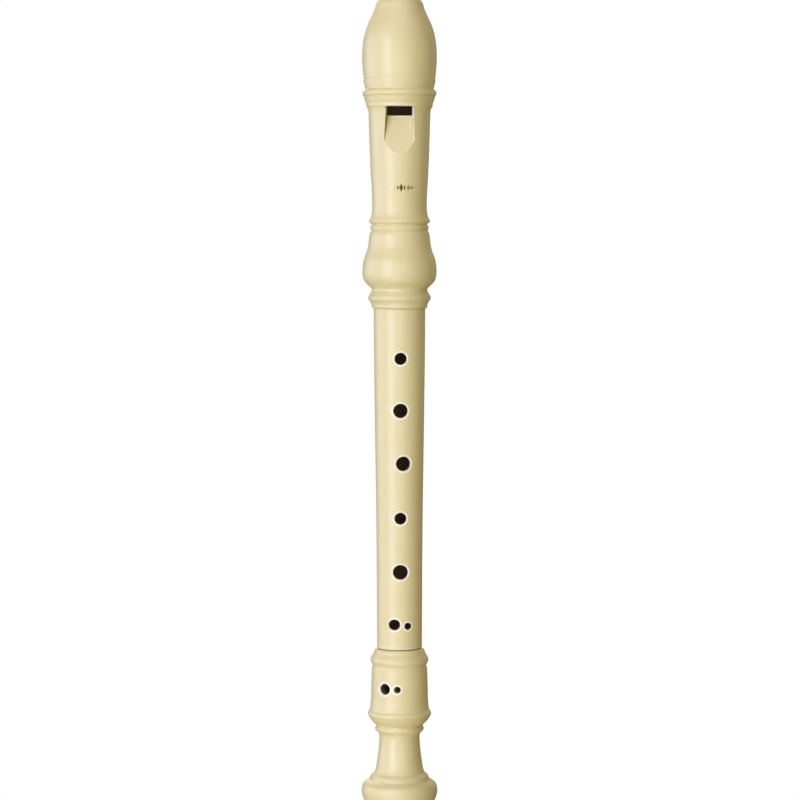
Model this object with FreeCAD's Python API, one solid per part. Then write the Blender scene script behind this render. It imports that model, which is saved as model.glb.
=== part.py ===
import FreeCAD, Part
import math
import os

# Soprano recorder in three joints: head, middle and foot.
# All sizes are in millimetres.  The foot's end face is at height 0 and +Z runs up to the beak.
# The window and the finger holes face -Y, and the thumb hole faces +Y.

# Overall heights
TOTAL_LENGTH = 330.0
HEAD_SEAT_Z = 204.7  # shoulder of the middle joint that the head sits on
FOOT_SEAT_Z = 65.3  # shoulder of the middle joint that the foot sits on
HEAD_SEAM_GAP = 0.05  # the head is pushed home
FOOT_SEAM_GAP = 0.3  # the foot stands off its seat by a visible line
JOIN_CLEARANCE = 0.05  # radial room between pieces that are bonded together
TENON_CLEARANCE = 0.06  # radial room between a tenon and its socket

# Bore
HEAD_BORE_R = 6.8
MIDDLE_BORE_TOP_R = 6.3
MIDDLE_BORE_BOTTOM_R = 5.35
FOOT_BORE_R = 5.25
FOOT_HOLE_BORE_R = 5.35  # short stretch of bore beside the foot's double hole

# Tenons on the middle joint
HEAD_TENON_R = 8.6
HEAD_TENON_LENGTH = 28.0
FOOT_TENON_R = 7.6
FOOT_TENON_LENGTH = 12.5
TENON_LEAD = 0.5  # chamfer on a tenon's end
SOCKET_LEAD = 0.35  # chamfer at a socket's mouth
SHOULDER_CHAMFER = 0.2  # on the middle joint's outer shoulders
SOCKET_END_ROOM = 0.5  # space left past a tenon's end
GROOVE_DEPTH = 0.35
GROOVE_WIDTH = 1.0
GROOVE_PITCH = 2.2
GROOVE_CUTTER_ROOM = 1.0  # how far a groove's cutting ring stands outside the tenon
HEAD_TENON_GROOVES = 5
FOOT_TENON_GROOVES = 3

# Outside of the middle joint
MIDDLE_FOOT_END_R = 9.22
MIDDLE_HEAD_END_R = 10.54

# Inner tube of the head
HEAD_TUBE_R = 10.0
HEAD_TUBE_UPPER_R = 9.0
HEAD_TUBE_STEP_Z = 236.0
HEAD_TUBE_TOP_Z = 268.0

# Inner tube of the foot, with the flange that closes the bell
FOOT_TUBE_R = 7.4
FOOT_TUBE_TOP_Z = 40.0
BELL_FLANGE_R = 11.6
BELL_FLANGE_THICKNESS = 3.0
BELL_MOUTH_CHAMFER = 0.6
BELL_BASE_R = 13.0

# Window, ramp and lip
WINDOW_TOP_Z = 286.7
LIP_Z = 282.9
LIP_Y = -7.6
LIP_THICKNESS = 0.7
WINDOW_HALF_WIDTH = 5.15
WINDOW_FRONT_Y = -9.5  # in front of this the window's walls lean like the ramp's
LIP_HALF_WIDTH = 4.55
RAMP_SLOPE = 0.29  # rise of the ramp towards the outside per millimetre of height
RAMP_SPREAD = 0.155  # growth of the ramp's half width per millimetre of height
WALL_DRAFT = 0.305  # outward lean of the ramp's side walls
RAMP_START_Z = 264.0
CUTTER_FRONT_Y = -16.5  # in front of every outer surface
CUTTER_BACK_Y = -3.0  # inside the bore
UNDERCUT_START_Z = 268.5
UNDERCUT_START_Y = -4.8
WINDOW_EDGE_ROUND = 0.2
WINDOW_EDGE_LEAST_R = 11.4  # the window's outer edges are farther from the axis than this

# Windway: roof in the head, floor on the block
ARCH_RADIUS = 25.0
WINDWAY_TIP_HALF_WIDTH = 5.5
ROOF_TIP_Y = -7.2
ROOF_EXIT_Y = -8.5
FLOOR_TIP_Y = -5.6
FLOOR_EXIT_Y = -7.45
DUCT_OVERRUN = 1.0  # how far the cutting shapes run past the tip

# Beak: the hollow behind it is an arc that starts upright at the tip
BEAK_BACK_Y = 2.0
BEAK_HOLLOW_RADIUS = 36.0
BEAK_HOLLOW_HALF_WIDTH = 20.0  # wider than the barrel
BEAK_EDGE_ROUND = 0.8

# Finger holes: height, direction round from the joint's front line (positive is towards +X),
# sideways offset of the drill, diameter.  The two holes of a pair are drilled side by side.
MIDDLE_TURN = 2.8  # the middle joint's front line stands a little to the +X side of the window
MIDDLE_HOLES = {
    "first": (184.5, 0.0, 0.0, 4.9),
    "second": (163.3, 0.0, 0.0, 5.8),
    "third": (141.7, 7.1, 0.0, 5.9),
    "fourth": (119.3, 0.0, 0.0, 4.8),
    "fifth": (97.3, 0.0, 0.0, 6.0),
    "sixth_large": (75.7, 2.3, -2.7, 4.4),
    "sixth_small": (75.1, 2.3, 2.7, 2.8),
    "thumb": (192.6, 180.0, 0.0, 5.8),
}
FOOT_TURN = -18.3  # the foot is turned so that the little finger reaches its holes
FOOT_HOLES = {
    "seventh_large": (49.35, 0.0, -2.64, 4.5),
    "seventh_small": (49.3, 0.0, 2.64, 2.7),
}
DRILL_REACH = 20.0  # past every outer surface
RIM_ROUND = 0.35
RIM_LEAST_R = 8.0  # a rim on the outside is farther from the axis than this, one in the bore nearer

SAME_PLACE = 0.01  # two lengths this close are the same
OUTPUT_FOLDER = "parts"


def vector(radius, height):
    """Point of an outline in the half plane at +X."""
    return FreeCAD.Vector(radius, 0, height)


class Outline:
    """Closed outline of a turned piece, drawn as (radius, height) points."""

    def __init__(self, radius, height):
        self.start = vector(radius, height)
        self.here = self.start
        self.edges = []

    def line(self, radius, height):
        there = vector(radius, height)
        self.edges.append(Part.LineSegment(self.here, there).toShape())
        self.here = there

    def arc(self, middle, end):
        there = vector(*end)
        self.edges.append(Part.Arc(self.here, vector(*middle), there).toShape())
        self.here = there

    def curve(self, *points):
        """One smooth curve from the last point through all of these."""
        stations = [self.here] + [vector(*point) for point in points]
        spline = Part.BSplineCurve()
        spline.interpolate(stations)
        self.edges.append(spline.toShape())
        self.here = stations[-1]

    def turned(self):
        """Close the outline and turn it round the Z axis."""
        self.line(self.start.x, self.start.z)
        face = Part.Face(Part.Wire(self.edges))
        return face.revolve(FreeCAD.Vector(0, 0, 0), FreeCAD.Vector(0, 0, 1), 360)


def cylinder(radius, low, high):
    """Upright cylinder on the axis between two heights."""
    return Part.makeCylinder(radius, high - low, FreeCAD.Vector(0, 0, low))


def socket_floor():
    """Height where the head's tenon socket ends."""
    return HEAD_SEAT_Z + HEAD_TENON_LENGTH + SOCKET_END_ROOM


# ---------------------------------------------------------------- head

def head_envelope():
    """Outer form of the head joint before it is bored, hollowed behind the beak."""
    seat = HEAD_SEAT_Z + HEAD_SEAM_GAP
    outline = Outline(0, seat)
    outline.line(10.95, seat)
    outline.arc((11.3, 205.3), (11.4, 206.2))
    # mouth ring
    outline.curve((11.7, 207.0), (12.3, 207.9))
    outline.arc((12.78, 208.8), (12.5, 210.0))
    outline.curve((11.85, 211.1), (11.4, 211.9))
    outline.line(11.4, 212.7)
    # round swelling over the socket
    swelling_foot = ((11.9, 213.3), (13.0, 214.3), (14.2, 215.7), (14.95, 217.5), (15.15, 219.2))
    swelling_top = ((15.08, 221.7), (14.75, 224.1), (13.95, 226.6), (13.2, 228.6), (12.75, 230.8))
    outline.curve(*swelling_foot, *swelling_top, (12.35, 234.0))
    outline.arc((12.05, 235.5), (11.4, 236.6))
    # small bead and waist ring
    outline.arc((11.9, 237.7), (11.4, 238.65))
    outline.arc((11.28, 239.0), (11.5, 239.35))
    outline.arc((12.45, 240.3), (12.1, 241.2))
    # long neck, narrow below and wider towards the window
    neck_foot = ((11.65, 242.2), (11.25, 244.2), (11.13, 247.2))
    outline.curve(*neck_foot, (11.55, 256.0), (12.3, 274.5), (12.62, 285.0))
    # step, narrow band and three rings under the barrel
    outline.arc((12.8, 285.6), (13.2, 286.5))
    outline.line(13.55, 287.0)
    outline.line(13.58, 288.1)
    outline.arc((14.1, 289.4), (14.5, 290.8))
    outline.line(14.38, 290.95)
    outline.line(14.6, 291.1)
    outline.arc((15.08, 292.1), (14.5, 293.4))
    outline.line(13.95, 293.9)
    outline.curve((14.25, 295.4), (14.6, 296.7), (14.68, 297.6))
    outline.line(14.53, 298.3)
    outline.line(14.68, 299.0)
    # barrel
    outline.curve((15.17, 304.8), (15.1, 310.5), (14.35, 315.8), (12.5, 321.3), (10.7, 325.1), (9.65, 328.3))
    outline.arc((9.2, 329.2), (8.5, TOTAL_LENGTH))
    outline.line(0, TOTAL_LENGTH)
    blank = outline.turned()

    hollow_corner = FreeCAD.Vector(
        -BEAK_HOLLOW_HALF_WIDTH, BEAK_BACK_Y + BEAK_HOLLOW_RADIUS, TOTAL_LENGTH
    )
    across = FreeCAD.Vector(1, 0, 0)
    hollow = Part.makeCylinder(
        BEAK_HOLLOW_RADIUS, 2 * BEAK_HOLLOW_HALF_WIDTH, hollow_corner, across
    )
    blank = blank.cut(hollow)
    return blank.makeFillet(BEAK_EDGE_ROUND, beak_edges(blank))


def beak_edges(blank):
    """Edges all round the hollow behind the beak, apart from its curved face."""
    centre_y = BEAK_BACK_Y + BEAK_HOLLOW_RADIUS
    found = []
    for edge in blank.Edges:
        middle = edge.valueAt((edge.FirstParameter + edge.LastParameter) / 2)
        from_centre = math.hypot(middle.y - centre_y, middle.z - TOTAL_LENGTH)
        if abs(from_centre - BEAK_HOLLOW_RADIUS) < SAME_PLACE:
            found.append(edge)
    return found


def arched_section(height, half_width, front_y):
    """Flat wire at one height: gently arched in front, straight at the sides and back."""
    rise = ARCH_RADIUS - math.sqrt(ARCH_RADIUS**2 - half_width**2)
    left = FreeCAD.Vector(-half_width, front_y + rise, height)
    right = FreeCAD.Vector(half_width, front_y + rise, height)
    back_right = FreeCAD.Vector(half_width, CUTTER_BACK_Y, height)
    back_left = FreeCAD.Vector(-half_width, CUTTER_BACK_Y, height)
    crown = FreeCAD.Vector(0, front_y, height)
    edges = [
        Part.Arc(left, crown, right).toShape(),
        Part.LineSegment(right, back_right).toShape(),
        Part.LineSegment(back_right, back_left).toShape(),
        Part.LineSegment(back_left, left).toShape(),
    ]
    return Part.Wire(edges)


def arched_duct(tip_y, exit_y, side_room):
    """Solid between the bore and the windway's roof or floor, from window to tip and past it."""
    length = TOTAL_LENGTH - WINDOW_TOP_Z
    grow = (length + DUCT_OVERRUN) / length
    end_y = exit_y + (tip_y - exit_y) * grow
    end_half = WINDOW_HALF_WIDTH + (WINDWAY_TIP_HALF_WIDTH - WINDOW_HALF_WIDTH) * grow
    low = arched_section(WINDOW_TOP_Z, WINDOW_HALF_WIDTH - side_room, exit_y)
    high = arched_section(TOTAL_LENGTH + DUCT_OVERRUN, end_half - side_room, end_y)
    return Part.makeLoft([low, high], True, True)


def ramp_section(height):
    """Flat wire across the ramp at one height, wider in front because its walls lean out."""
    drop = max(0.0, LIP_Z - height)
    floor_y = LIP_Y - RAMP_SLOPE * drop
    floor_half = LIP_HALF_WIDTH + RAMP_SPREAD * drop
    front_half = floor_half + WALL_DRAFT * (floor_y - CUTTER_FRONT_Y)
    corners = [
        FreeCAD.Vector(-floor_half, floor_y, height),
        FreeCAD.Vector(floor_half, floor_y, height),
        FreeCAD.Vector(front_half, CUTTER_FRONT_Y, height),
        FreeCAD.Vector(-front_half, CUTTER_FRONT_Y, height),
    ]
    return Part.makePolygon(corners + corners[:1])


def ramp_cutter():
    """Space in front of the ramp and, above the lip, in front of the throat."""
    ramp = Part.makeLoft([ramp_section(RAMP_START_Z), ramp_section(LIP_Z)], True, True)
    opening = Part.makeLoft([ramp_section(LIP_Z), ramp_section(WINDOW_TOP_Z)], True, True)
    return ramp.fuse(opening)


def throat_cutter():
    """Opening from the window into the bore and the hollow under the lip."""
    corner = FreeCAD.Vector(-WINDOW_HALF_WIDTH, WINDOW_FRONT_Y, LIP_Z)
    throat = Part.makeBox(
        2 * WINDOW_HALF_WIDTH, CUTTER_BACK_Y - WINDOW_FRONT_Y, WINDOW_TOP_Z - LIP_Z, corner
    )
    undercut = Part.makeLoft(
        [
            arched_section(UNDERCUT_START_Z, WINDOW_HALF_WIDTH, UNDERCUT_START_Y),
            arched_section(LIP_Z, WINDOW_HALF_WIDTH, LIP_Y + LIP_THICKNESS),
        ],
        True,
        True,
    )
    return throat.fuse(undercut)


def make_head_shell(envelope):
    """Outer moulding of the head with the window, the ramp and the windway's roof."""
    tube_step = HEAD_TUBE_STEP_Z + JOIN_CLEARANCE
    tube_end = HEAD_TUBE_TOP_Z + JOIN_CLEARANCE
    shell = envelope.cut(cylinder(HEAD_TUBE_R + JOIN_CLEARANCE, HEAD_SEAT_Z, tube_step))
    shell = shell.cut(cylinder(HEAD_TUBE_UPPER_R + JOIN_CLEARANCE, HEAD_SEAT_Z, tube_end))
    shell = shell.cut(cylinder(HEAD_BORE_R, HEAD_SEAT_Z, TOTAL_LENGTH + DUCT_OVERRUN))
    shell = shell.cut(arched_duct(ROOF_TIP_Y, ROOF_EXIT_Y, 0.0))
    shell = shell.cut(ramp_cutter())
    shell = shell.makeFillet(WINDOW_EDGE_ROUND, window_edges(shell))
    return shell.cut(throat_cutter())


def window_edges(shell):
    """Edges where the window and the ramp meet the outer surface."""
    widest = LIP_HALF_WIDTH + RAMP_SPREAD * (LIP_Z - RAMP_START_Z)
    highest = WINDOW_TOP_Z + SAME_PLACE
    found = []
    for edge in shell.Edges:
        ends = [edge.valueAt(edge.FirstParameter), edge.valueAt(edge.LastParameter)]
        middle = edge.valueAt((edge.FirstParameter + edge.LastParameter) / 2)
        in_window = all(
            abs(point.x) < widest and point.y < 0 and RAMP_START_Z < point.z < highest for point in ends
        )
        if in_window and math.hypot(middle.x, middle.y) > WINDOW_EDGE_LEAST_R:
            found.append(edge)
    return found


def make_windway_block(envelope):
    """Block that fills the upper bore and carries the windway's floor."""
    plug = cylinder(HEAD_BORE_R - JOIN_CLEARANCE, WINDOW_TOP_Z, TOTAL_LENGTH + DUCT_OVERRUN)
    windway = arched_duct(ROOF_TIP_Y, ROOF_EXIT_Y, 0.0)
    filled = plug.common(arched_duct(FLOOR_TIP_Y, FLOOR_EXIT_Y, 0.0))
    tongue = arched_duct(FLOOR_TIP_Y, FLOOR_EXIT_Y, JOIN_CLEARANCE)
    block = plug.cut(windway).fuse([filled, tongue])
    return block.common(envelope).removeSplitter()


def make_head_tube():
    """Inner tube of the head: the tenon socket below and the bore above."""
    seat = HEAD_SEAT_Z + HEAD_SEAM_GAP
    socket_r = HEAD_TENON_R + TENON_CLEARANCE
    outline = Outline(socket_r + SOCKET_LEAD, seat)
    outline.line(HEAD_TUBE_R, seat)
    outline.line(HEAD_TUBE_R, HEAD_TUBE_STEP_Z)
    outline.line(HEAD_TUBE_UPPER_R, HEAD_TUBE_STEP_Z)
    outline.line(HEAD_TUBE_UPPER_R, HEAD_TUBE_TOP_Z)
    outline.line(HEAD_BORE_R, HEAD_TUBE_TOP_Z)
    outline.line(HEAD_BORE_R, socket_floor())
    outline.line(socket_r, socket_floor())
    outline.line(socket_r, seat + SOCKET_LEAD)
    return outline.turned()


# -------------------------------------------------------------- middle

def groove_ring(radius, height):
    """Ring to cut away for one shallow groove round a tenon."""
    outer = cylinder(radius + GROOVE_CUTTER_ROOM, height - GROOVE_WIDTH / 2, height + GROOVE_WIDTH / 2)
    return outer.cut(cylinder(radius - GROOVE_DEPTH, height - GROOVE_WIDTH, height + GROOVE_WIDTH))


def grooved(solid, radius, middle_height, count):
    """Cut evenly spaced grooves round a tenon."""
    first = middle_height - (count - 1) * GROOVE_PITCH / 2
    for index in range(count):
        solid = solid.cut(groove_ring(radius, first + index * GROOVE_PITCH))
    return solid


def hole_start(turn, hole):
    """Point inside the bore where the drill for one finger hole starts."""
    height, angle, offset = hole[:3]
    bearing = math.radians(turn + angle)
    return FreeCAD.Vector(offset * math.cos(bearing), offset * math.sin(bearing), height)


def hole_direction(turn, hole):
    """Unit vector that points out of one finger hole."""
    bearing = math.radians(turn + hole[1])
    return FreeCAD.Vector(math.sin(bearing), -math.cos(bearing), 0)


def with_holes(solid, turn, holes):
    """Drill finger holes from the bore outwards and round their rims."""
    for hole in holes.values():
        drill = Part.makeCylinder(
            hole[3] / 2, DRILL_REACH, hole_start(turn, hole), hole_direction(turn, hole)
        )
        solid = solid.cut(drill)
    rims = [edge for hole in holes.values() for edge in rim_edges(solid, turn, hole)]
    return solid.makeFillet(RIM_ROUND, rims)


def rim_edges(solid, turn, hole):
    """Edges where one finger hole meets the outer surface."""
    start = hole_start(turn, hole)
    direction = hole_direction(turn, hole)
    found = []
    for edge in solid.Edges:
        first = edge.valueAt(edge.FirstParameter)
        middle = edge.valueAt((edge.FirstParameter + edge.LastParameter) / 2)
        along = (middle - start).dot(direction)
        off_axis = (middle - start - direction * along).Length
        outside = min(math.hypot(first.x, first.y), math.hypot(middle.x, middle.y)) > RIM_LEAST_R
        if outside and along > 0 and abs(off_axis - hole[3] / 2) < SAME_PLACE:
            found.append(edge)
    return found


def make_middle_joint():
    """Middle joint: a tapering tube with a tenon at each end, six front holes and a thumb hole."""
    top = HEAD_SEAT_Z + HEAD_TENON_LENGTH
    bottom = FOOT_SEAT_Z - FOOT_TENON_LENGTH
    outline = Outline(MIDDLE_BORE_BOTTOM_R, bottom)
    outline.line(FOOT_TENON_R - TENON_LEAD, bottom)
    outline.line(FOOT_TENON_R, bottom + TENON_LEAD)
    outline.line(FOOT_TENON_R, FOOT_SEAT_Z)
    outline.line(MIDDLE_FOOT_END_R - SHOULDER_CHAMFER, FOOT_SEAT_Z)
    outline.line(MIDDLE_FOOT_END_R, FOOT_SEAT_Z + SHOULDER_CHAMFER)
    head_end = (MIDDLE_HEAD_END_R, HEAD_SEAT_Z - SHOULDER_CHAMFER)
    outline.curve((9.3, 88.0), (9.55, 122.0), (10.05, 157.0), head_end)
    outline.line(MIDDLE_HEAD_END_R - SHOULDER_CHAMFER, HEAD_SEAT_Z)
    outline.line(HEAD_TENON_R, HEAD_SEAT_Z)
    outline.line(HEAD_TENON_R, top - TENON_LEAD)
    outline.line(HEAD_TENON_R - TENON_LEAD, top)
    outline.line(MIDDLE_BORE_TOP_R, top)
    tube = outline.turned()
    tube = grooved(tube, HEAD_TENON_R, HEAD_SEAT_Z + HEAD_TENON_LENGTH / 2, HEAD_TENON_GROOVES)
    tube = grooved(tube, FOOT_TENON_R, FOOT_SEAT_Z - FOOT_TENON_LENGTH / 2, FOOT_TENON_GROOVES)
    return with_holes(tube, MIDDLE_TURN, MIDDLE_HOLES)


# ---------------------------------------------------------------- foot

def make_foot_shell():
    """Outer moulding of the foot with the tenon socket and the double hole."""
    seat = FOOT_SEAT_Z - FOOT_SEAM_GAP
    socket_r = FOOT_TENON_R + TENON_CLEARANCE
    socket_end = FOOT_SEAT_Z - FOOT_TENON_LENGTH - SOCKET_END_ROOM
    outline = Outline(FOOT_TUBE_R + JOIN_CLEARANCE, BELL_FLANGE_THICKNESS + JOIN_CLEARANCE)
    outline.line(BELL_FLANGE_R + JOIN_CLEARANCE, BELL_FLANGE_THICKNESS + JOIN_CLEARANCE)
    outline.line(BELL_FLANGE_R + JOIN_CLEARANCE, 0)
    outline.line(BELL_BASE_R, 0)
    # bell
    outline.curve((14.35, 1.8), (15.2, 3.7), (15.62, 6.6), (15.35, 8.0))
    outline.arc((15.05, 8.8), (14.45, 9.5))
    outline.curve((13.6, 10.1), (12.5, 10.7))
    outline.line(12.3, 10.85)
    outline.arc((12.05, 11.7), (11.6, 12.6))
    outline.line(11.1, 13.05)
    outline.line(10.4, 13.6)
    # waist
    outline.curve((10.0, 14.5), (9.4, 17.2), (8.82, 21.2), (8.43, 25.0), (8.3, 27.5))
    outline.arc((8.38, 29.3), (8.7, 30.1))
    outline.line(9.1, 30.6)
    outline.arc((10.0, 31.9), (9.5, 33.0))
    outline.line(9.45, 33.3)
    # ring over the waist
    outline.curve((10.5, 34.2), (11.7, 35.5), (12.6, 37.1))
    outline.arc((13.05, 38.2), (12.65, 39.1))
    outline.curve((12.2, 39.9), (11.9, 41.7), (11.7, 44.0))
    # body of the foot
    outline.curve((11.66, 48.0), (11.46, 54.0), (11.38, 57.0))
    outline.line(11.0, 58.1)
    outline.line(11.05, 58.5)
    outline.arc((11.85, 60.7), (11.5, 61.7))
    outline.line(10.5, 63.3)
    outline.arc((10.35, 64.0), (9.7, seat))
    outline.line(socket_r + SOCKET_LEAD, seat)
    outline.line(socket_r, seat - SOCKET_LEAD)
    outline.line(socket_r, socket_end)
    outline.line(FOOT_HOLE_BORE_R, socket_end)
    outline.line(FOOT_HOLE_BORE_R, FOOT_TUBE_TOP_Z + JOIN_CLEARANCE)
    outline.line(FOOT_TUBE_R + JOIN_CLEARANCE, FOOT_TUBE_TOP_Z + JOIN_CLEARANCE)
    return with_holes(outline.turned(), FOOT_TURN, FOOT_HOLES)


def make_foot_tube():
    """Inner tube of the foot with the flange that closes the bell."""
    outline = Outline(FOOT_BORE_R, BELL_MOUTH_CHAMFER)
    outline.line(FOOT_BORE_R + BELL_MOUTH_CHAMFER, 0)
    outline.line(BELL_FLANGE_R, 0)
    outline.line(BELL_FLANGE_R, BELL_FLANGE_THICKNESS)
    outline.line(FOOT_TUBE_R, BELL_FLANGE_THICKNESS)
    outline.line(FOOT_TUBE_R, FOOT_TUBE_TOP_Z)
    outline.line(FOOT_BORE_R, FOOT_TUBE_TOP_Z)
    return outline.turned()


# -------------------------------------------------------------- output

def main():
    os.makedirs(OUTPUT_FOLDER, exist_ok=True)
    envelope = head_envelope()
    pieces = {
        "head_shell": make_head_shell(envelope),
        "windway_block": make_windway_block(envelope),
        "head_bore_tube": make_head_tube(),
        "middle_joint": make_middle_joint(),
        "foot_shell": make_foot_shell(),
        "foot_bore_tube": make_foot_tube(),
    }
    for name, shape in pieces.items():
        shape.exportStep(os.path.join(OUTPUT_FOLDER, name + ".step"))
        print(name, shape.isValid(), len(shape.Solids), "solid", round(shape.Volume, 1), "mm3")


main()
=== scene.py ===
import math

import bmesh
import bpy
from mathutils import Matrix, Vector
from mathutils.bvhtree import BVHTree


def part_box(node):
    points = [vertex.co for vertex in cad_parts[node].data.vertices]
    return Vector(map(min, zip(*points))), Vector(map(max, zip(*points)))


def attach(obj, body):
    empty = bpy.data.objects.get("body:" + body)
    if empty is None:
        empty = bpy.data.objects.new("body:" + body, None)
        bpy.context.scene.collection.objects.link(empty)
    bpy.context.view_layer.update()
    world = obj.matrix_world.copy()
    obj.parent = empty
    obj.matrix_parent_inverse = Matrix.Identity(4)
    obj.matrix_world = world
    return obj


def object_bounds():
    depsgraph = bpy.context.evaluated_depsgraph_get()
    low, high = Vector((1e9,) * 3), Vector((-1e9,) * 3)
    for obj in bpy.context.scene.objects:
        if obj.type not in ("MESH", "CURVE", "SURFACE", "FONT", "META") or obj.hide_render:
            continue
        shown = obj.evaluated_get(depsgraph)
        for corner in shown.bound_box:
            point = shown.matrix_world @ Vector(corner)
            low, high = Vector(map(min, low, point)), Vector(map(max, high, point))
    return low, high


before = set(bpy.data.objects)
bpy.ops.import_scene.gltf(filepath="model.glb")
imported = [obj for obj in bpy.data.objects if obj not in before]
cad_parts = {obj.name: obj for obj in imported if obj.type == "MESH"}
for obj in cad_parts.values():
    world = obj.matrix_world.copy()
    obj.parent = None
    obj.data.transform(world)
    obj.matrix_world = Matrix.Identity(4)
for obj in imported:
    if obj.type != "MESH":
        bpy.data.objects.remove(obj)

# Soprano recorder in moulded ivory plastic, upright in a plain white studio.
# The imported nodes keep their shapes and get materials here; the foil ornament is the one new piece.

MM = 0.001
CAD_LOW, CAD_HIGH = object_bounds()
LENGTH = CAD_HIGH.z - CAD_LOW.z

# Camera: level with the neck, aimed at the middle of the recorder
CAMERA_DISTANCE = 1.2
CAMERA_HEIGHT = 0.7152 * LENGTH
AIM_HEIGHT = 0.5067 * LENGTH
CAMERA_SIDE = 0.22 * MM
LENS_MM = 132.1
SENSOR_MM = 36.0
CLIP_END = 50.0

# Colours of the plastic and the foil, linear
IVORY = (0.80, 0.675, 0.375)
IVORY_WARM = (0.79, 0.66, 0.34)
# Painted highlight: pale colour laid on the rims of the holes and window and on the shoulder's edge
IVORY_PAINTED_HIGHLIGHT = (0.93, 0.88, 0.72)
IVORY_SHADED = (0.17, 0.115, 0.03)
# Painted shade: dark brown laid on the inner surfaces of the bores
BORE_PAINTED_SHADE = (0.22, 0.13, 0.075)
GOLD = (0.11, 0.08, 0.015)
GOLD_WORN = (0.34, 0.26, 0.08)
GOLD_THIN = (0.66, 0.55, 0.27)

# Surface of the plastic: noise scales per metre, bump heights in millimetres
CLOUD_SCALE = 120.0
CLOUD_RANGE = (0.35, 0.7)
SMEAR_SCALE = 300.0
SMEAR_RANGE = (0.3, 0.75)
GRAIN_SCALE = 5200.0
GRAIN_HEIGHT = 0.006
RIPPLE_SCALE = 160.0
RIPPLE_HEIGHT = 0.05
PARTING_HEIGHT = 0.02
PARTING_HALF_WIDTH = 0.03 * MM
PARTING_END = 0.12 * MM
ROUGHNESS_RANGE = (0.38, 0.48)
BORE_ROUGHNESS = 0.8

# Foil ornament on the neck
STAMP_HEIGHT = 0.769 * LENGTH
STAMP_SIDE = 0.7 * MM  # its middle stands a little to the viewer's right
STAMP_COLUMNS = 8
STAMP_LIFT = 0.03 * MM  # half the foil's thickness
STAMP_POINT = 0.02 * MM  # half height of a lozenge at its left and right points
STAMP_BOLD = 1.9 * MM  # the foil is whole up to this far from its middle, and thin from the next
STAMP_FAINT = 2.4 * MM
STAMP_THINNING = 0.85
FOIL_SCALE = 2600.0
FOIL_WORN_RANGE = (0.5, 0.72)
FOIL_SMEAR_RANGE = (0.3, 0.7)
FOIL_ROUGHNESS_RANGE = (0.35, 0.55)
FAR_OUTSIDE = 50 * MM  # farther from the axis than any surface

# Painted highlight: pale rim round a finger hole, measured outwards from the hole's edge
RIM_FULL = 0.55 * MM
RIM_END = 1.05 * MM
RIM_DEEP = 7.6 * MM  # distances along the drill between which the rim comes in
RIM_FRONT = 8.6 * MM

# Painted highlight: pale edge at the middle joint's lower shoulder, measured up from the foot's top
SHOULDER_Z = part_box("foot_shell")[1].z
SHOULDER_FULL = 1.4 * MM
SHOULDER_END = 2.2 * MM
# Strength of the painted highlight at the shoulder
SHOULDER_HIGHLIGHT = 0.25

# Window, with its pale rim of painted highlight, and the ramp below it
WINDOW_TOP_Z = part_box("windway_block")[0].z
WINDOW_HEIGHT = 3.8 * MM
LIP_Z = WINDOW_TOP_Z - WINDOW_HEIGHT
WINDOW_HALF_WIDTH = 5.15 * MM
# Strength of the painted highlight on the window's rim
WINDOW_HIGHLIGHT = 0.6
WINDOW_RIM_FULL = 0.3 * MM
WINDOW_RIM_END = 1.0 * MM
WINDOW_RIM_Y = -7.5 * MM  # the rim is in front of this
WINDOW_RIM_BACK_Y = -7.1 * MM
RAMP_LIP_HALF_WIDTH = 4.55 * MM
RAMP_LIP_Y = -7.6 * MM
RAMP_SPREAD = 0.155  # growth of the ramp's half width per unit of height
RAMP_SLOPE = 0.29  # rise of the ramp towards the outside per unit of height
RAMP_START_Z = LIP_Z - 18.9 * MM
WALL_DRAFT = 0.305  # outward lean of the ramp's side walls
WALL_SHADE = 0.72
WALL_CORNER = 0.1 * MM  # half width of the shade's soft edge in the corner with the ramp
WALL_EDGE = (0.03 * MM, 0.12 * MM)  # distance past the wall over which the shade ends
WALL_FOOT = 2 * MM  # height over which the shade comes in at the ramp's start
WALL_TOP = (-1 * MM, 2.5 * MM)  # heights from the lip between which the shade ends

# Finger holes: height, direction round from the front, sideways offset of the drill, diameter,
# in millimetres and degrees
MIDDLE_TURN = 2.8
MIDDLE_HOLES = (
    (184.5, MIDDLE_TURN, 0.0, 4.9),
    (163.3, MIDDLE_TURN, 0.0, 5.8),
    (141.7, MIDDLE_TURN + 7.1, 0.0, 5.9),
    (119.3, MIDDLE_TURN, 0.0, 4.8),
    (97.3, MIDDLE_TURN, 0.0, 6.0),
    (75.7, MIDDLE_TURN + 2.3, -2.7, 4.4),
    (75.1, MIDDLE_TURN + 2.3, 2.7, 2.8),
    (192.6, MIDDLE_TURN + 180.0, 0.0, 5.8),
)
FOOT_TURN = -18.3
FOOT_HOLES = (
    (49.35, FOOT_TURN, -2.64, 4.5),
    (49.3, FOOT_TURN, 2.64, 2.7),
)

# Inner surfaces with painted shade, in millimetres: painted dark up to the first radius, plain from
# the second, between the two heights
HEAD_BORES = ((6.85, 7.25, 0.0, 288.0),)
BLOCK_BORES = ((8.2, 8.6, 280.0, 288.0),)
HEAD_TUBE_BORES = ((7.0, 7.6, 232.0, 269.0),)
MIDDLE_BORES = ((8.3, 9.2, 66.0, 202.0), (6.4, 6.7, 0.0, 330.0))
FOOT_BORES = ((9.6, 11.0, 41.0, 52.2),)
FOOT_TUBE_BORES = ((5.4, 5.9, 0.4, 41.0),)
BORE_FADE = 0.2

# Studio
WHITE = (1.0, 1.0, 1.0)
KEY_WHITE = (0.64, 0.72, 1.0)
FRONT_WHITE = (1.0, 0.97, 0.93)
LOW_WHITE = (1.0, 0.97, 0.88)
ROOM_GLOW = (0.16, 0.14, 0.05)
FLOOR_Z = -30 * MM  # low enough for the foot to be pulled off above it
FLOOR_HALF_SIZE = 20.0

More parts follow.
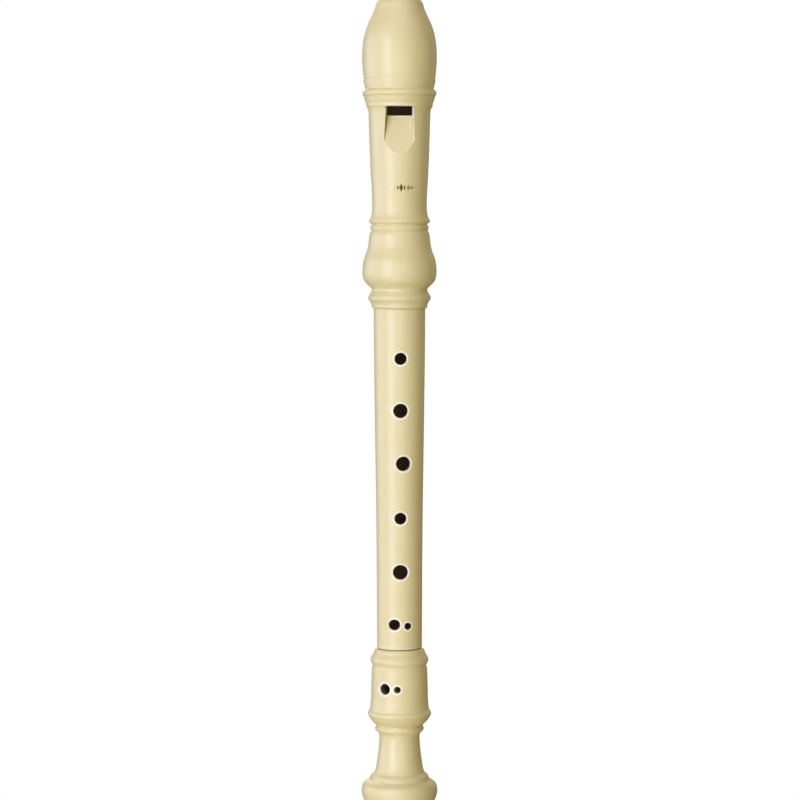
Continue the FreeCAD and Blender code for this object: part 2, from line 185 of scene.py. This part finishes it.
# Softboxes: azimuth (0 in front, negative to the viewer's left), elevation, distance, (width, height),
# watts, colour
SOFTBOXES = {
    "key": (-37, 6, 1.6, (0.75, 1.3), 17.4, KEY_WHITE),
    "front": (7, 5, 1.8, (1.2, 1.2), 7.5, FRONT_WHITE),
    "top": (0, 62, 1.5, (1.4, 1.2), 6.0, WHITE),
    "left": (-100, 5, 1.4, (1.2, 0.9), 7.1, KEY_WHITE),
    "low": (-14, -45, 1.5, (1.3, 0.9), 7.8, LOW_WHITE),
    "back": (188, 38, 2.2, (1.2, 2.4), 24.0, LOW_WHITE),
    "right": (140, 12, 1.8, (0.7, 1.3), 2.0, LOW_WHITE),
}


# ------------------------------------------------------------ node helpers

class Graph:
    """Short way to write a material's nodes."""

    def __init__(self, name):
        self.material = bpy.data.materials.new(name)
        self.material.use_nodes = True
        self.tree = self.material.node_tree
        self.tree.nodes.clear()
        self.output = self.tree.nodes.new("ShaderNodeOutputMaterial")

    def node(self, kind, inputs=None, **settings):
        made = self.tree.nodes.new(kind)
        for key, value in settings.items():
            setattr(made, key, value)
        for key, value in (inputs or {}).items():
            self.put(made.inputs[key], value)
        return made

    def put(self, socket, value):
        """Link an output to the socket, or set the socket to a number or a tuple."""
        if isinstance(value, bpy.types.NodeSocket):
            self.tree.links.new(value, socket)
        else:
            socket.default_value = value

    def math(self, operation, *values):
        made = self.node("ShaderNodeMath", operation=operation)
        for index, value in enumerate(values):
            self.put(made.inputs[index], value)
        return made.outputs[0]

    def vector(self, operation, *values):
        made = self.node("ShaderNodeVectorMath", operation=operation)
        for index, value in enumerate(values):
            self.put(made.inputs[index], value)
        return made

    def ramp(self, value, low, high, out_low=0.0, out_high=1.0):
        """Smooth step of value from low to high."""
        inputs = {
            "Value": value,
            "From Min": low,
            "From Max": high,
            "To Min": out_low,
            "To Max": out_high,
        }
        made = self.node("ShaderNodeMapRange", interpolation_type="SMOOTHSTEP")
        for key, number in inputs.items():
            self.put(made.inputs[key], number)
        return made.outputs["Result"]

    def colour(self, socket, value):
        """Link a colour output, or set a plain colour of three numbers."""
        self.put(socket, value if isinstance(value, bpy.types.NodeSocket) else (*value, 1))

    def mix(self, share, first, second):
        made = self.node("ShaderNodeMix", data_type="RGBA")
        self.put(made.inputs["Factor"], share)
        self.colour(made.inputs["A"], first)
        self.colour(made.inputs["B"], second)
        return made.outputs["Result"]

    def noise(self, where, scale, detail, roughness=0.5):
        inputs = {"Vector": where, "Scale": scale, "Detail": detail, "Roughness": roughness}
        return self.node("ShaderNodeTexNoise", inputs).outputs["Fac"]

    def finish(self, shader):
        """Connect the shader and give the finished material."""
        self.put(self.output.inputs["Surface"], shader.outputs[0])
        return self.material


# --------------------------------------------------------------- materials

def hole_rim_highlights(graph, where, holes):
    """Share of painted highlight, a pale rim round every finger hole."""
    total = 0.0
    for height, angle, offset, diameter in holes:
        turn = math.radians(angle)
        out = Vector((math.sin(turn), -math.cos(turn), 0))
        side = Vector((math.cos(turn), math.sin(turn), 0))
        centre = side * offset * MM + Vector((0, 0, height * MM))
        radius = diameter / 2 * MM
        from_centre = graph.vector("SUBTRACT", where, tuple(centre)).outputs[0]
        across = graph.vector("CROSS_PRODUCT", from_centre, tuple(out)).outputs[0]
        distance = graph.vector("LENGTH", across).outputs["Value"]
        along = graph.vector("DOT_PRODUCT", from_centre, tuple(out)).outputs["Value"]
        ring = graph.ramp(distance, radius + RIM_FULL, radius + RIM_END, 1.0, 0.0)
        front = graph.ramp(along, RIM_DEEP, RIM_FRONT)
        total = graph.math("ADD", total, graph.math("MULTIPLY", ring, front))
    return graph.math("MINIMUM", total, 1.0)


def window_rim_highlight(graph, parts):
    """Share of painted highlight, a pale edge round the window, on the front half only."""
    beyond_side = graph.math("SUBTRACT", graph.math("ABSOLUTE", parts["X"]), WINDOW_HALF_WIDTH)
    from_middle = graph.math("SUBTRACT", parts["Z"], (WINDOW_TOP_Z + LIP_Z) / 2)
    beyond_end = graph.math("SUBTRACT", graph.math("ABSOLUTE", from_middle), WINDOW_HEIGHT / 2)
    inputs = {
        "X": graph.math("MAXIMUM", beyond_side, 0.0),
        "Y": graph.math("MAXIMUM", beyond_end, 0.0),
        "Z": 0.0,
    }
    outside = graph.node("ShaderNodeCombineXYZ", inputs)
    distance = graph.vector("LENGTH", outside.outputs[0]).outputs["Value"]
    ring = graph.ramp(distance, WINDOW_RIM_FULL, WINDOW_RIM_END, WINDOW_HIGHLIGHT, 0.0)
    front = graph.ramp(parts["Y"], WINDOW_RIM_Y, WINDOW_RIM_BACK_Y, 1.0, 0.0)
    return graph.math("MULTIPLY", ring, front)


def ramp_shade(graph, parts):
    """Share of brown shade painted on the ramp's left wall, up to its pale outer edge."""
    drop = graph.math("MAXIMUM", graph.math("SUBTRACT", LIP_Z, parts["Z"]), 0.0)
    half_width = graph.math("ADD", graph.math("MULTIPLY", drop, RAMP_SPREAD), RAMP_LIP_HALF_WIDTH)
    beyond_side = graph.math("SUBTRACT", graph.math("MULTIPLY", parts["X"], -1.0), half_width)
    floor_y = graph.math("SUBTRACT", RAMP_LIP_Y, graph.math("MULTIPLY", drop, RAMP_SLOPE))
    lean = graph.math("MULTIPLY", graph.math("SUBTRACT", floor_y, parts["Y"]), WALL_DRAFT)
    above_lip = graph.math("SUBTRACT", parts["Z"], LIP_Z)
    corner = graph.ramp(beyond_side, -WALL_CORNER, WALL_CORNER)
    wall = graph.ramp(graph.math("SUBTRACT", beyond_side, lean), *WALL_EDGE, 1.0, 0.0)
    above_start = graph.ramp(parts["Z"], RAMP_START_Z, RAMP_START_Z + WALL_FOOT)
    below_window = graph.ramp(above_lip, *WALL_TOP, WALL_SHADE, 0.0)
    on_wall = graph.math("MULTIPLY", corner, wall)
    return graph.math("MULTIPLY", on_wall, graph.math("MULTIPLY", above_start, below_window))


def shoulder_edge_highlight(graph, parts):
    """Share of painted highlight, a paler edge where the middle joint ends above the foot."""
    full = SHOULDER_Z + SHOULDER_FULL
    return graph.ramp(parts["Z"], full, SHOULDER_Z + SHOULDER_END, SHOULDER_HIGHLIGHT, 0.0)


def bore_painted_shade(graph, parts, dark_radius, light_radius, low, high):
    """Share of painted shade on inner surfaces: close to the axis, between two heights, all in
    millimetres.
    """
    flat = graph.node("ShaderNodeCombineXYZ", {"X": parts["X"], "Y": parts["Y"], "Z": 0.0})
    radius = graph.vector("LENGTH", flat.outputs[0]).outputs["Value"]
    inside = graph.ramp(radius, dark_radius * MM, light_radius * MM, 1.0, 0.0)
    above = graph.ramp(parts["Z"], (low - BORE_FADE) * MM, low * MM)
    below = graph.ramp(parts["Z"], high * MM, (high + BORE_FADE) * MM, 1.0, 0.0)
    return graph.math("MULTIPLY", inside, graph.math("MULTIPLY", above, below))


def plastic_bump(graph, where, parts):
    """Normal of the moulded surface: fine grain, long ripple and the mould's parting line."""
    grain = graph.math("MULTIPLY", graph.noise(where, GRAIN_SCALE, 2.0), GRAIN_HEIGHT)
    ripple = graph.math("MULTIPLY", graph.noise(where, RIPPLE_SCALE, 1.0), RIPPLE_HEIGHT)
    from_parting = graph.math("ABSOLUTE", parts["Y"])
    parting = graph.ramp(from_parting, PARTING_HALF_WIDTH, PARTING_END, PARTING_HEIGHT, 0.0)
    height = graph.math("ADD", graph.math("ADD", grain, ripple), parting)
    bump = graph.node("ShaderNodeBump", {"Strength": 0.6, "Distance": 1.0 * MM, "Height": height})
    return bump.outputs["Normal"]


def ivory(name, bores, holes=(), tint=IVORY, window=False, shoulder=False):
    """Moulded ivory plastic: soft gloss, faint cloudiness, fine grain, painted shade on the inner
    surfaces and painted highlights on rims and edges.
    """
    graph = Graph(name)
    where = graph.node("ShaderNodeTexCoord").outputs["Object"]
    parts = graph.node("ShaderNodeSeparateXYZ", {"Vector": where}).outputs

    cloud = graph.noise(where, CLOUD_SCALE, 3.0)
    colour = graph.mix(graph.ramp(cloud, *CLOUD_RANGE), tint, IVORY_WARM)
    if holes:
        colour = graph.mix(hole_rim_highlights(graph, where, holes), colour, IVORY_PAINTED_HIGHLIGHT)
    if window:
        colour = graph.mix(window_rim_highlight(graph, parts), colour, IVORY_PAINTED_HIGHLIGHT)
        colour = graph.mix(ramp_shade(graph, parts), colour, IVORY_SHADED)
    if shoulder:
        colour = graph.mix(shoulder_edge_highlight(graph, parts), colour, IVORY_PAINTED_HIGHLIGHT)
    # Painted shade on the inner surfaces
    shade = 0.0
    for bore in bores:
        shade = graph.math("MAXIMUM", shade, bore_painted_shade(graph, parts, *bore))
    colour = graph.mix(shade, colour, BORE_PAINTED_SHADE)

    smear = graph.noise(where, SMEAR_SCALE, 4.0, 0.6)
    roughness = graph.ramp(smear, *SMEAR_RANGE, *ROUGHNESS_RANGE)
    roughness = graph.math("MAXIMUM", roughness, graph.math("MULTIPLY", shade, BORE_ROUGHNESS))

    inputs = {
        "Base Color": colour,
        "Roughness": roughness,
        "IOR": 1.53,
        "Specular IOR Level": 0.9,
        "Subsurface Weight": 0.12,
        "Subsurface Radius": (1.0, 0.7, 0.35),
        "Subsurface Scale": 1.5 * MM,
        "Normal": plastic_bump(graph, where, parts),
    }
    return graph.finish(graph.node("ShaderNodeBsdfPrincipled", inputs))


def gold_foil():
    """Hot-stamped gold foil, worn thin in places and towards its two ends."""
    graph = Graph("gold_foil")
    where = graph.node("ShaderNodeTexCoord").outputs["Object"]
    worn = graph.noise(where, FOIL_SCALE, 3.0, 0.6)
    colour = graph.mix(graph.ramp(worn, *FOIL_WORN_RANGE), GOLD, GOLD_WORN)
    across = graph.node("ShaderNodeSeparateXYZ", {"Vector": where}).outputs["X"]
    aside = graph.math("ABSOLUTE", graph.math("SUBTRACT", across, STAMP_SIDE))
    thin = graph.ramp(aside, STAMP_BOLD, STAMP_FAINT, 0.0, STAMP_THINNING)
    bump = graph.node("ShaderNodeBump", {"Strength": 0.3, "Distance": 0.05 * MM, "Height": worn})
    inputs = {
        "Base Color": graph.mix(thin, colour, GOLD_THIN),
        "Metallic": 1.0,
        "Roughness": graph.ramp(worn, *FOIL_SMEAR_RANGE, *FOIL_ROUGHNESS_RANGE),
        "Normal": bump.outputs["Normal"],
    }
    return graph.finish(graph.node("ShaderNodeBsdfPrincipled", inputs))


def floor_paper():
    """Plain white staging surface, clear from below so that the underside can be seen."""
    graph = Graph("floor_paper")
    glow = graph.node("ShaderNodeEmission", {"Color": (*WHITE, 1), "Strength": 1.0})
    clear = graph.node("ShaderNodeBsdfTransparent")
    under = graph.node("ShaderNodeNewGeometry").outputs["Backfacing"]
    inputs = {0: under, 1: glow.outputs[0], 2: clear.outputs[0]}
    return graph.finish(graph.node("ShaderNodeMixShader", inputs))


def finish_nodes():
    """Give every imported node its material."""
    finishes = {
        "head_shell": ivory("ivory_head", HEAD_BORES, window=True),
        "windway_block": ivory("ivory_block", BLOCK_BORES, tint=IVORY_WARM),
        "head_bore_tube": ivory("ivory_head_tube", HEAD_TUBE_BORES, tint=IVORY_WARM),
        "middle_joint": ivory("ivory_middle", MIDDLE_BORES, MIDDLE_HOLES, shoulder=True),
        "foot_shell": ivory("ivory_foot", FOOT_BORES, FOOT_HOLES),
        "foot_bore_tube": ivory("ivory_foot_tube", FOOT_TUBE_BORES, tint=IVORY_WARM),
    }
    for node, finish in finishes.items():
        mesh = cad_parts[node].data
        mesh.materials.clear()
        mesh.materials.append(finish)


# ---------------------------------------------------------------- ornament

def surface_finder(node):
    """Function that gives a point of the node's outer surface and the way out from the axis there."""
    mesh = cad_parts[node].data
    corners = [v.co.copy() for v in mesh.vertices]
    mesh.calc_loop_triangles()
    tree = BVHTree.FromPolygons(corners, [tuple(t.vertices) for t in mesh.loop_triangles])

    def find(angle, height):
        out = Vector((math.sin(angle), -math.cos(angle), 0))
        start = out * FAR_OUTSIDE + Vector((0, 0, height))
        return tree.ray_cast(start, -out)[0], out

    return find


def stamp_lozenges():
    """Generic row of lozenges: centre, half width and half height in millimetres."""
    row = [(0.0, 0.8, 1.7)]
    for side in (-1, 1):
        row.append((side * 1.35, 0.4, 1.1))
        row.append((side * 2.9, 0.7, 1.3))
        row.append((side * 4.4, 0.5, 0.8))
        row.append((side * 5.6, 0.55, 0.2))
    return row


def add_lozenge(form, find, radius, lozenge):
    """One thin lozenge on the curve of the neck, in columns from its left to its right point."""
    centre, half_width, half_height = lozenge
    columns = []
    for index in range(STAMP_COLUMNS + 1):
        across = 2 * index / STAMP_COLUMNS - 1
        angle = (STAMP_SIDE + (centre + half_width * across) * MM) / radius
        reach = max(half_height * (1 - abs(across)) * MM, STAMP_POINT)
        column = []
        for up, lift in ((-1, 1), (1, 1), (1, -1), (-1, -1)):
            point, out = find(angle, STAMP_HEIGHT + up * reach)
            column.append(form.verts.new(point + out * lift * STAMP_LIFT))
        columns.append(column)
    for left, right in zip(columns, columns[1:]):
        for index in range(4):
            after = (index + 1) % 4
            form.faces.new((left[index], right[index], right[after], left[after]))
    form.faces.new(columns[0])
    form.faces.new(list(reversed(columns[-1])))


def add_stamp():
    """Thin foil shapes laid on the front of the neck."""
    find = surface_finder("head_shell")
    radius = math.hypot(*find(0.0, STAMP_HEIGHT)[0].xy)
    form = bmesh.new()
    for lozenge in stamp_lozenges():
        add_lozenge(form, find, radius, lozenge)
    bmesh.ops.recalc_face_normals(form, faces=form.faces)
    mesh = bpy.data.meshes.new("foil_ornament")
    form.to_mesh(mesh)
    form.free()
    mesh.materials.append(gold_foil())
    piece = bpy.data.objects.new("foil_ornament", mesh)
    bpy.context.scene.collection.objects.link(piece)
    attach(piece, "head")


# ----------------------------------------------------------------- staging

def look_at(thing, target):
    direction = Vector(target) - thing.location
    thing.rotation_euler = direction.to_track_quat("-Z", "Y").to_euler()


def add_camera():
    data = bpy.data.cameras.new("camera")
    data.lens = LENS_MM
    data.sensor_width = SENSOR_MM
    data.clip_end = CLIP_END
    camera = bpy.data.objects.new("camera", data)
    camera.location = (CAMERA_SIDE, -CAMERA_DISTANCE, CAMERA_HEIGHT)
    look_at(camera, (CAMERA_SIDE, 0, AIM_HEIGHT))
    bpy.context.scene.collection.objects.link(camera)
    bpy.context.scene.camera = camera


def add_softbox(name, azimuth, elevation, distance, size, power, colour):
    """Rectangular light round the recorder, facing its middle."""
    data = bpy.data.lights.new(name, "AREA")
    data.shape = "RECTANGLE"
    data.size, data.size_y = size
    data.energy = power
    data.color = colour
    light = bpy.data.objects.new(name, data)
    turn, rise = math.radians(azimuth), math.radians(elevation)
    level = Vector((math.sin(turn), -math.cos(turn), 0)) * math.cos(rise)
    away = level + Vector((0, 0, math.sin(rise)))
    middle = Vector((0, 0, LENGTH / 2))
    light.location = middle + away * distance
    look_at(light, middle)
    bpy.context.scene.collection.objects.link(light)


def add_world():
    """White behind everything for the camera, a dim warm grey for light and reflections."""
    world = bpy.data.worlds.new("studio")
    bpy.context.scene.world = world
    world.use_nodes = True
    tree = world.node_tree
    tree.nodes.clear()
    path = tree.nodes.new("ShaderNodeLightPath")
    seen = tree.nodes.new("ShaderNodeBackground")
    seen.inputs["Color"].default_value = (*WHITE, 1)
    room = tree.nodes.new("ShaderNodeBackground")
    room.inputs["Color"].default_value = (*ROOM_GLOW, 1)
    blend = tree.nodes.new("ShaderNodeMixShader")
    output = tree.nodes.new("ShaderNodeOutputWorld")
    tree.links.new(path.outputs["Is Camera Ray"], blend.inputs[0])
    tree.links.new(room.outputs[0], blend.inputs[1])
    tree.links.new(seen.outputs[0], blend.inputs[2])
    tree.links.new(blend.outputs[0], output.inputs["Surface"])


def add_floor():
    """White floor that only the camera sees."""
    mesh = bpy.data.meshes.new("floor")
    form = bmesh.new()
    bmesh.ops.create_grid(form, x_segments=1, y_segments=1, size=FLOOR_HALF_SIZE)
    form.to_mesh(mesh)
    form.free()
    mesh.materials.append(floor_paper())
    floor = bpy.data.objects.new("floor", mesh)
    bpy.context.scene.collection.objects.link(floor)
    floor.location.z = FLOOR_Z
    floor.visible_diffuse = False
    floor.visible_glossy = False
    floor.visible_shadow = False


def plain_colours():
    """Show the render's colours as they are."""
    view = bpy.context.scene.view_settings
    view.view_transform = "Standard"
    view.look = "None"


add_camera()
add_world()
add_floor()
for name, settings in SOFTBOXES.items():
    add_softbox(name, *settings)
plain_colours()
finish_nodes()
add_stamp()
